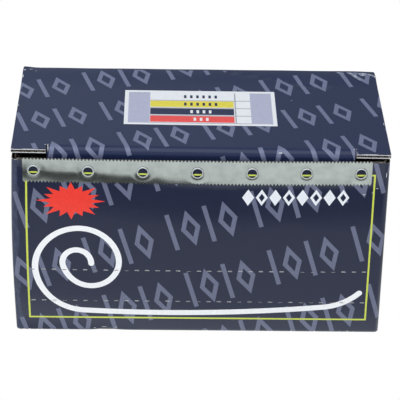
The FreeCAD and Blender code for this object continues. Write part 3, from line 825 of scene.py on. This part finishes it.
def lid_place(x, t, deep=0.0):
    """Point of the lid's blank: x along the box, t from the back fold over the top to the tuck."""
    folded = abs(x) < slit_x or t > raw_edge + 0.01
    if t <= fold_start or not folded:
        y = lid_back - t
        return x, y, box_height - deep + lid_settle(x, y)
    radius = front_fold - deep
    turn = math.pi / 2 + min(t - fold_start, fold_end - fold_start) / front_fold
    y = fold_centre[0] + radius * math.cos(turn)
    z = fold_centre[1] + radius * math.sin(turn)
    down = max(0.0, t - fold_end)
    return (x, y + down * math.sin(lean),
            z - down * math.cos(lean) + lid_settle(x, fold_centre[0]))


def on_lid(x, back):
    """Blank position of a spot this far back from the front edge."""
    return x, raw_edge - back


left_half = [(-half_length, 0.0), (-half_length, raw_edge), (-slit_x - slit_half, raw_edge),
             (-slit_x - slit_half, fold_start), (-slit_x + slit_half, fold_start),
             (-slit_x + slit_half, wing_top), (-tuck_half, wing_top), (-tuck_half, tuck_end - tuck_corner)]
left_half += [(-tuck_half + tuck_corner - tuck_corner * math.cos(math.pi / 16 * i),
               tuck_end - tuck_corner + tuck_corner * math.sin(math.pi / 16 * i)) for i in range(1, 9)]
lid_outline = left_half + [(-x, t) for x, t in left_half[::-1]]
lid_pattern_start = (-17.0, 10.0)
lid_prints = leaning_marks(-half_length, half_length, -16, raw_edge, lid_pattern_start,
                           lid_pattern, lid_card, on_lid)


def label_field(x0, x1, back0, back1, owner):
    lid_prints.append(([on_lid(x, back) for x, back in box_ring(x0, x1, back0, back1)], owner))


label_half, label_low, label_high, panel_low, panel_high = 27.0, 20.7, 48.1, 22.1, 46.7
row_low, row_pitch, row_high, dash_pitch, dash_half = 22.9, 6.0, 5.0, 2.2, 0.45
label_field(-label_half, label_half, label_low, label_high, label_white)
label_field(-25.6, -17.9, panel_low, panel_high, label_lilac)
label_field(18.0, 25.6, panel_low, panel_high, label_lilac)
rows_of_label = ((label_red, 3, label_white), (lid_card, 4, label_white),
                 (label_yellow, 6, lid_card), (label_white, 6, lid_card))
for row, (owner, dashes, dash_ink) in enumerate(rows_of_label):
    low_edge = row_low + row_pitch * row
    label_field(-17.8, 18.0, low_edge - 0.9, low_edge - 0.35, label_lines)
    label_field(-17.8, 12.0, low_edge, low_edge + row_high, owner)
    label_field(13.1, 17.9, low_edge, low_edge + row_high, label_white)
    for i in range(dashes):
        x = 0.2 + (i - (dashes - 1) / 2) * dash_pitch
        label_field(x - dash_half, x + dash_half, low_edge + 1.3, low_edge + 3.7, dash_ink)
label_field(12.3, 12.8, 22.2, 46.4, label_lines)
# Paler streaks at the front right corner: rubbed print, with painted sheen over them.
rub_and_sheen_streaks = ([(54.4, 0.2), (56.2, 0.2), (57.9, 2.6), (59.9, 6.3), (58.9, 6.5), (56.6, 3.2)],
                  [(58.2, 0.3), (61.9, 0.3), (61.4, 2.8), (59.6, 3.2)],
                  [(62.2, 0.6), (64.5, 1.7), (64.4, 3.4), (62.7, 2.1)],
                  [(50.6, 0.3), (53.0, 0.2), (53.6, 1.2), (51.4, 1.0)])
lid_prints += [(streak, lid_rub_and_sheen) for streak in rub_and_sheen_streaks]
lid_wear = ((27.2, 62.3, 1.8, 0.5), (-52.5, 61.6, 0.45, 3.4), (-53.4, 60.4, 1.0, 0.4),
            (52.5, 60.4, 0.3, 0.7), (53.3, 60.2, 0.9, 0.4), (-64.6, 63.9, 0.8, 0.5),
            (-59.0, 64.0, 6.0, 0.3), (58.5, 64.0, 7.0, 0.35), (56.0, 1.0, 1.5, 0.4),
            (60.5, 0.8, 2.0, 0.5), (64.6, 3.0, 0.4, 2.5), (62.9, 1.2, 1.2, 0.6),
            (33.0, 22.9, 0.9, 0.2), (-64.7, 30.0, 0.3, 2.0), (64.6, 41.0, 0.3, 2.4),
            (57.5, 3.0, 0.7, 1.4), (60.4, 2.0, 1.1, 0.8), (-60.2, 1.9, 0.7, 0.3),
            (-64.3, 1.2, 1.2, 0.9), (-62.0, 0.5, 2.0, 0.4), (-64.7, 6.0, 0.4, 3.0))
for u, v, wide, high in lid_wear:
    lid_prints.append((worn_spot(chance, u, v, wide, high), lid_torn))
across = spread(-half_length, half_length, 2.0)
lid_fold_rows = [fold_start + (fold_end - fold_start) * i / 12 for i in range(13)]
lid_grids = [(across, spread(0, fold_start, 2.0)), (across, spread(fold_end, tuck_end, 3.0)),
             (spread(-slit_x, slit_x, 0.6), lid_fold_rows),
             ([side * x for side in (-1, 1) for x in (54.5, 56.5, 58.5, 60.5, 62.5)], [61.0, 63.0])]
lid_edge = ring(lid_outline, 0.6)
sheet(lid_card, lid_edge, lid_prints, lid_place, lid_grids, -1)
sheet(lid_inside, lid_edge, [], lambda x, t: lid_place(x, t, board), lid_grids)
# Slit edges are drawn with the dark fluting, as painted shade; the other edges are torn white.
for start, end in zip(lid_edge, lid_edge[1:] + lid_edge[:1]):
    in_slit = all(abs(abs(x) - slit_x) < 0.2 or abs(t - wing_top) < 0.01 for x, t in (start, end))
    for near, far in ((0, liner), (board - liner, board)):
        cut_edge(lid_fluting if in_slit else lid_torn, [start, end], lid_place, near, far, closed=False)
sheet(lid_fluting, ring(lid_outline, 0.33), [], lambda x, t: lid_place(x, t, medium_depth(x)),
      [(spread(-half_length, half_length, flute_pitch / 8),
        [10.0, 30.0, 50.0, 59.0] + lid_fold_rows[::2] + [68.0, 73.0])])
# Rubbed print with painted sheen.
rub_and_sheen_pale = varnished("rub_and_sheen_pale", (0.30, 0.34, 0.46), across=(1, 0, 0), shade=0.5)
# Lid board and pattern are lighter, bluer copies of the carton's navy and pattern ink: painted sheen for
# the sky the lid's top mirrors. The back fold takes the same blue.
lid_blue_painted_sheen = varnished("lid_blue_painted_sheen", (0.0130, 0.0223, 0.0725), across=(1, 0, 0))
lid_lilac_painted_sheen = varnished("lid_pattern_lilac_painted_sheen", (0.152, 0.174, 0.285), across=(1, 0, 0))
label_white_ink = varnished("label_white_ink", (0.83, 0.86, 0.90), across=(1, 0, 0), shade=0.96)
label_lilac_ink = varnished("label_lilac_ink", (0.45, 0.47, 0.62), across=(1, 0, 0), shade=0.95)
label_red_ink = varnished("label_red_ink", (0.88, 0.075, 0.065), across=(1, 0, 0))
label_yellow_ink = varnished("label_yellow_ink", (0.80, 0.70, 0.055), across=(1, 0, 0))
label_line_ink = varnished("label_line_grey", (0.40, 0.41, 0.46), across=(1, 0, 0))
make_piece("lid_board", lid_card, lid_blue_painted_sheen, "lid", ["lid"])
make_piece("lid_inner_liner", lid_inside, liner_grey, "lid")
make_piece("lid_fluting", lid_fluting, fluting_dark_painted_shade, "lid")
make_piece("lid_worn_edges", lid_torn, torn_white, "lid")
make_piece("lid_corner_rub_and_sheen", lid_rub_and_sheen, rub_and_sheen_pale, "lid")
make_piece("lid_pattern_ink", lid_pattern, lid_lilac_painted_sheen, "lid", ["lid_pattern_print"])
make_piece("label_white_ink", label_white, label_white_ink, "lid", ["label_white_print"])
make_piece("label_lilac_ink", label_lilac, label_lilac_ink, "lid", ["label_lilac_print"])
make_piece("label_red_ink", label_red, label_red_ink, "lid", ["label_red_print"])
make_piece("label_yellow_ink", label_yellow, label_yellow_ink, "lid", ["label_yellow_print"])
make_piece("label_line_ink", label_lines, label_line_ink, "lid")

# Back fold: the stretch of the same board between the back wall and the lid, which on the real
# box bends as the lid opens. It is scored, not cut; here it is one fixed piece, on neither body.
crease = new_work()
fold_bead, left_bead = 0.5, 0.45


def fold_place(x, turn_share, deep=0.0):
    """Point of the fold: x along the box, turn_share from 0 at the back wall to 1 at the lid."""
    turn = math.pi / 2 * turn_share
    thick = fold_bead + left_bead * math.exp(-((x + half_length) / 3) ** 2)
    bead = thick * math.sin(2 * turn) ** 2
    y = lid_back + (hinge_fold + bead - deep) * math.cos(turn)
    z = back_top + (hinge_fold + bead - deep) * math.sin(turn)
    outer_y = lid_back + hinge_fold * math.cos(turn)
    limit = flat_x + math.sqrt(max(0.0, corner_radius ** 2 - (outer_y - flat_y) ** 2))
    x = x / half_length * limit
    return x, y, z + turn_share * lid_settle(x, lid_back)


fold_edge = [(x, 0.0) for x in [-half_length] + spread(-half_length, half_length, 2) + [half_length]]
fold_edge += [(half_length, i / 10) for i in range(1, 10)]
fold_edge += [(x, 1.0) for x, share in fold_edge[::-1] if share == 0.0]
fold_edge += [(-half_length, 1 - i / 10) for i in range(1, 10)]
shares = [i / 10 for i in range(1, 10)]
fold_grid = [(spread(-half_length, half_length, 2), shares)]
sheet(crease, fold_edge, [], fold_place, fold_grid)
sheet(crease, fold_edge, [], lambda x, share: fold_place(x, share, board), fold_grid, -1)
cut_edge(crease, fold_edge, fold_place, 0, board)
back_fold = make_piece("lid_back_fold", crease, lid_blue_painted_sheen, None)
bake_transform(back_fold)

# Floor and light: a plain pale floor, even light from all round, and soft lamps above and in
# front. Mirrored rays see the floor glow in paler and darker bands, painted reflections in the
# varnish and the steel; the room mirrors paler and darker too.
def mapped(nodes, links, value, low, high, to_low=0.0, to_high=1.0):
    """Socket with a range of values stretched to another, held at both ends."""
    node = nodes.new("ShaderNodeMapRange")
    for name, number in (("From Min", low), ("From Max", high), ("To Min", to_low), ("To Max", to_high)):
        node.inputs[name].default_value = number
    links.new(value, node.inputs["Value"])
    return node.outputs["Result"]


def changed_by_ray(nodes, links, usual, mirrored, seen):
    """Shader that gives way to others where it is mirrored and where it is seen directly."""
    ray = nodes.new("ShaderNodeLightPath")
    for fact, instead in (("Is Glossy Ray", mirrored), ("Is Camera Ray", seen)):
        either = nodes.new("ShaderNodeMixShader")
        links.new(ray.outputs[fact], either.inputs["Fac"])
        links.new(usual, either.inputs[1])
        links.new(instead.outputs[0], either.inputs[2])
        usual = either.outputs["Shader"]
    return usual


floor_reach, floor_level = 3, -0.0002
floor_mesh = bpy.data.meshes.new("floor")
floor_square = box_ring(-floor_reach, floor_reach, -floor_reach, floor_reach)
floor_corners = [(x, y, floor_level) for x, y in floor_square]
floor_mesh.from_pydata(floor_corners, [], [[0, 1, 2, 3]])
floor = bpy.data.objects.new("floor", floor_mesh)
bpy.context.scene.collection.objects.link(floor)
floor_white, nodes, links, shader = node_material("floor_white")
shader.inputs["Base Color"].default_value = (0.62, 0.63, 0.64, 1)
shader.inputs["Roughness"].default_value = 0.9
shader.inputs["Specular IOR Level"].default_value = 0.0
spot = nodes.new("ShaderNodeNewGeometry")
apart = nodes.new("ShaderNodeSeparateXYZ")
links.new(spot.outputs["Position"], apart.inputs["Vector"])
leftwards = worked_out(nodes, links, "MINIMUM", apart.outputs["X"], 0.0)
slant = worked_out(nodes, links, "MULTIPLY", leftwards, -0.19)
forward = worked_out(nodes, links, "ADD", apart.outputs["Y"], slant)
sideways = worked_out(nodes, links, "ABSOLUTE", apart.outputs["X"])
beside = mapped(nodes, links, sideways, 0.095, 0.125)
# Painted reflections: bands of glow, darker or paler by how far forward the floor lies.
painted_reflection_bands = nodes.new("ShaderNodeValToRGB")
stops = painted_reflection_bands.color_ramp.elements
stops[0].position, stops[0].color = 0.0, (0.45, 0.48, 0.50, 1)
stops[1].position, stops[1].color = 0.69, (0.22, 0.25, 0.30, 1)
painted_reflection_stops = ((0.032, 1.05), (0.085, 0.60), (0.110, 0.55), (0.2645, 0.46), (0.3226, 0.10),
                (0.385, 0.03), (0.391, 0.78), (0.574, 0.78))
for position, level in painted_reflection_stops:
    stop = stops.new(position)
    stop.color = (level, level * 1.05, level * 1.05, 1)
links.new(mapped(nodes, links, forward, -0.023, -0.333), painted_reflection_bands.inputs["Fac"])
even = nodes.new("ShaderNodeMix")
even.data_type = "RGBA"
links.new(beside, even.inputs[0])
links.new(painted_reflection_bands.outputs["Color"], even.inputs[6])
even.inputs[7].default_value = (0.45, 0.48, 0.50, 1)
# Painted reflection: this glow is seen only in mirrored rays.
painted_floor_reflection = nodes.new("ShaderNodeEmission")
links.new(even.outputs[2], painted_floor_reflection.inputs["Color"])
glow = nodes.new("ShaderNodeEmission")
glow.inputs["Color"].default_value = (1, 1, 1, 1)
shown = changed_by_ray(nodes, links, shader.outputs["BSDF"], painted_floor_reflection, glow)
links.new(shown, nodes["Material Output"].inputs["Surface"])
floor_mesh.materials.append(floor_white)

world = bpy.data.worlds.new("studio")
bpy.context.scene.world = world
world.use_nodes = True
nodes, links = world.node_tree.nodes, world.node_tree.links
room = nodes["Background"]
room.inputs["Color"].default_value = (0.96, 0.98, 1.0, 1)
room.inputs["Strength"].default_value = 0.75
seen = nodes.new("ShaderNodeBackground")
seen.inputs["Color"].default_value = (1, 1, 1, 1)
mirrored = nodes.new("ShaderNodeBackground")
mirrored.inputs["Color"].default_value = (0.72, 0.82, 1.0, 1)
way = nodes.new("ShaderNodeTexCoord")
heading = nodes.new("ShaderNodeSeparateXYZ")
links.new(way.outputs["Generated"], heading.inputs["Vector"])
brighter_left = mapped(nodes, links, heading.outputs["X"], -0.09, 0.09, 0.39, 0.22)
links.new(brighter_left, mirrored.inputs["Strength"])
shown = changed_by_ray(nodes, links, room.outputs["Background"], mirrored, seen)
links.new(shown, nodes["World Output"].inputs["Surface"])


def soft_lamp(name, place, aim, width, height, power):
    lamp = bpy.data.lights.new(name, "AREA")
    lamp.shape = "RECTANGLE"
    lamp.size, lamp.size_y = width, height
    lamp.energy = power
    stand = bpy.data.objects.new(name, lamp)
    stand.location = place
    stand.rotation_euler = (Vector(aim) - Vector(place)).to_track_quat("-Z", "Y").to_euler()
    bpy.context.scene.collection.objects.link(stand)
    return stand


soft_lamp("top_lamp", (0.0, -0.35, 0.75), (0, 0, 0.05), 1.2, 0.8, 1.9)
front_lamp = soft_lamp("front_lamp", (-0.3, -0.95, 0.5), (0, 0, 0.04), 1.0, 1.0, 4.8)
front_lamp.visible_glossy = False

# Camera: it stands where the photo was taken from, in front of the box and above it, has a
# long lens, and is rolled a little.
yaw, pitch, roll = math.radians(-1.252), math.radians(29.002), math.radians(1.204)
flat_ahead = Vector((-math.sin(yaw), math.cos(yaw), 0))
level = Vector((math.cos(yaw), math.sin(yaw), 0))
ahead = flat_ahead * math.cos(pitch) - Vector((0, 0, 1)) * math.sin(pitch)
upward = flat_ahead * math.sin(pitch) + Vector((0, 0, 1)) * math.cos(pitch)
right = level * math.cos(roll) + upward * math.sin(roll)
top = upward * math.cos(roll) - level * math.sin(roll)
eye = Vector((-0.01303, -0.62255, 0.38122))
lens = bpy.data.cameras.new("camera")
lens.lens = 175.44
lens.sensor_width = 36
lens.clip_end = 20
camera = bpy.data.objects.new("camera", lens)
turning = Matrix((right, top, -ahead)).transposed().to_4x4()
camera.matrix_world = Matrix.Translation(eye) @ turning
bpy.context.scene.collection.objects.link(camera)
bpy.context.scene.camera = camera
bpy.context.scene.view_settings.view_transform = "Standard"
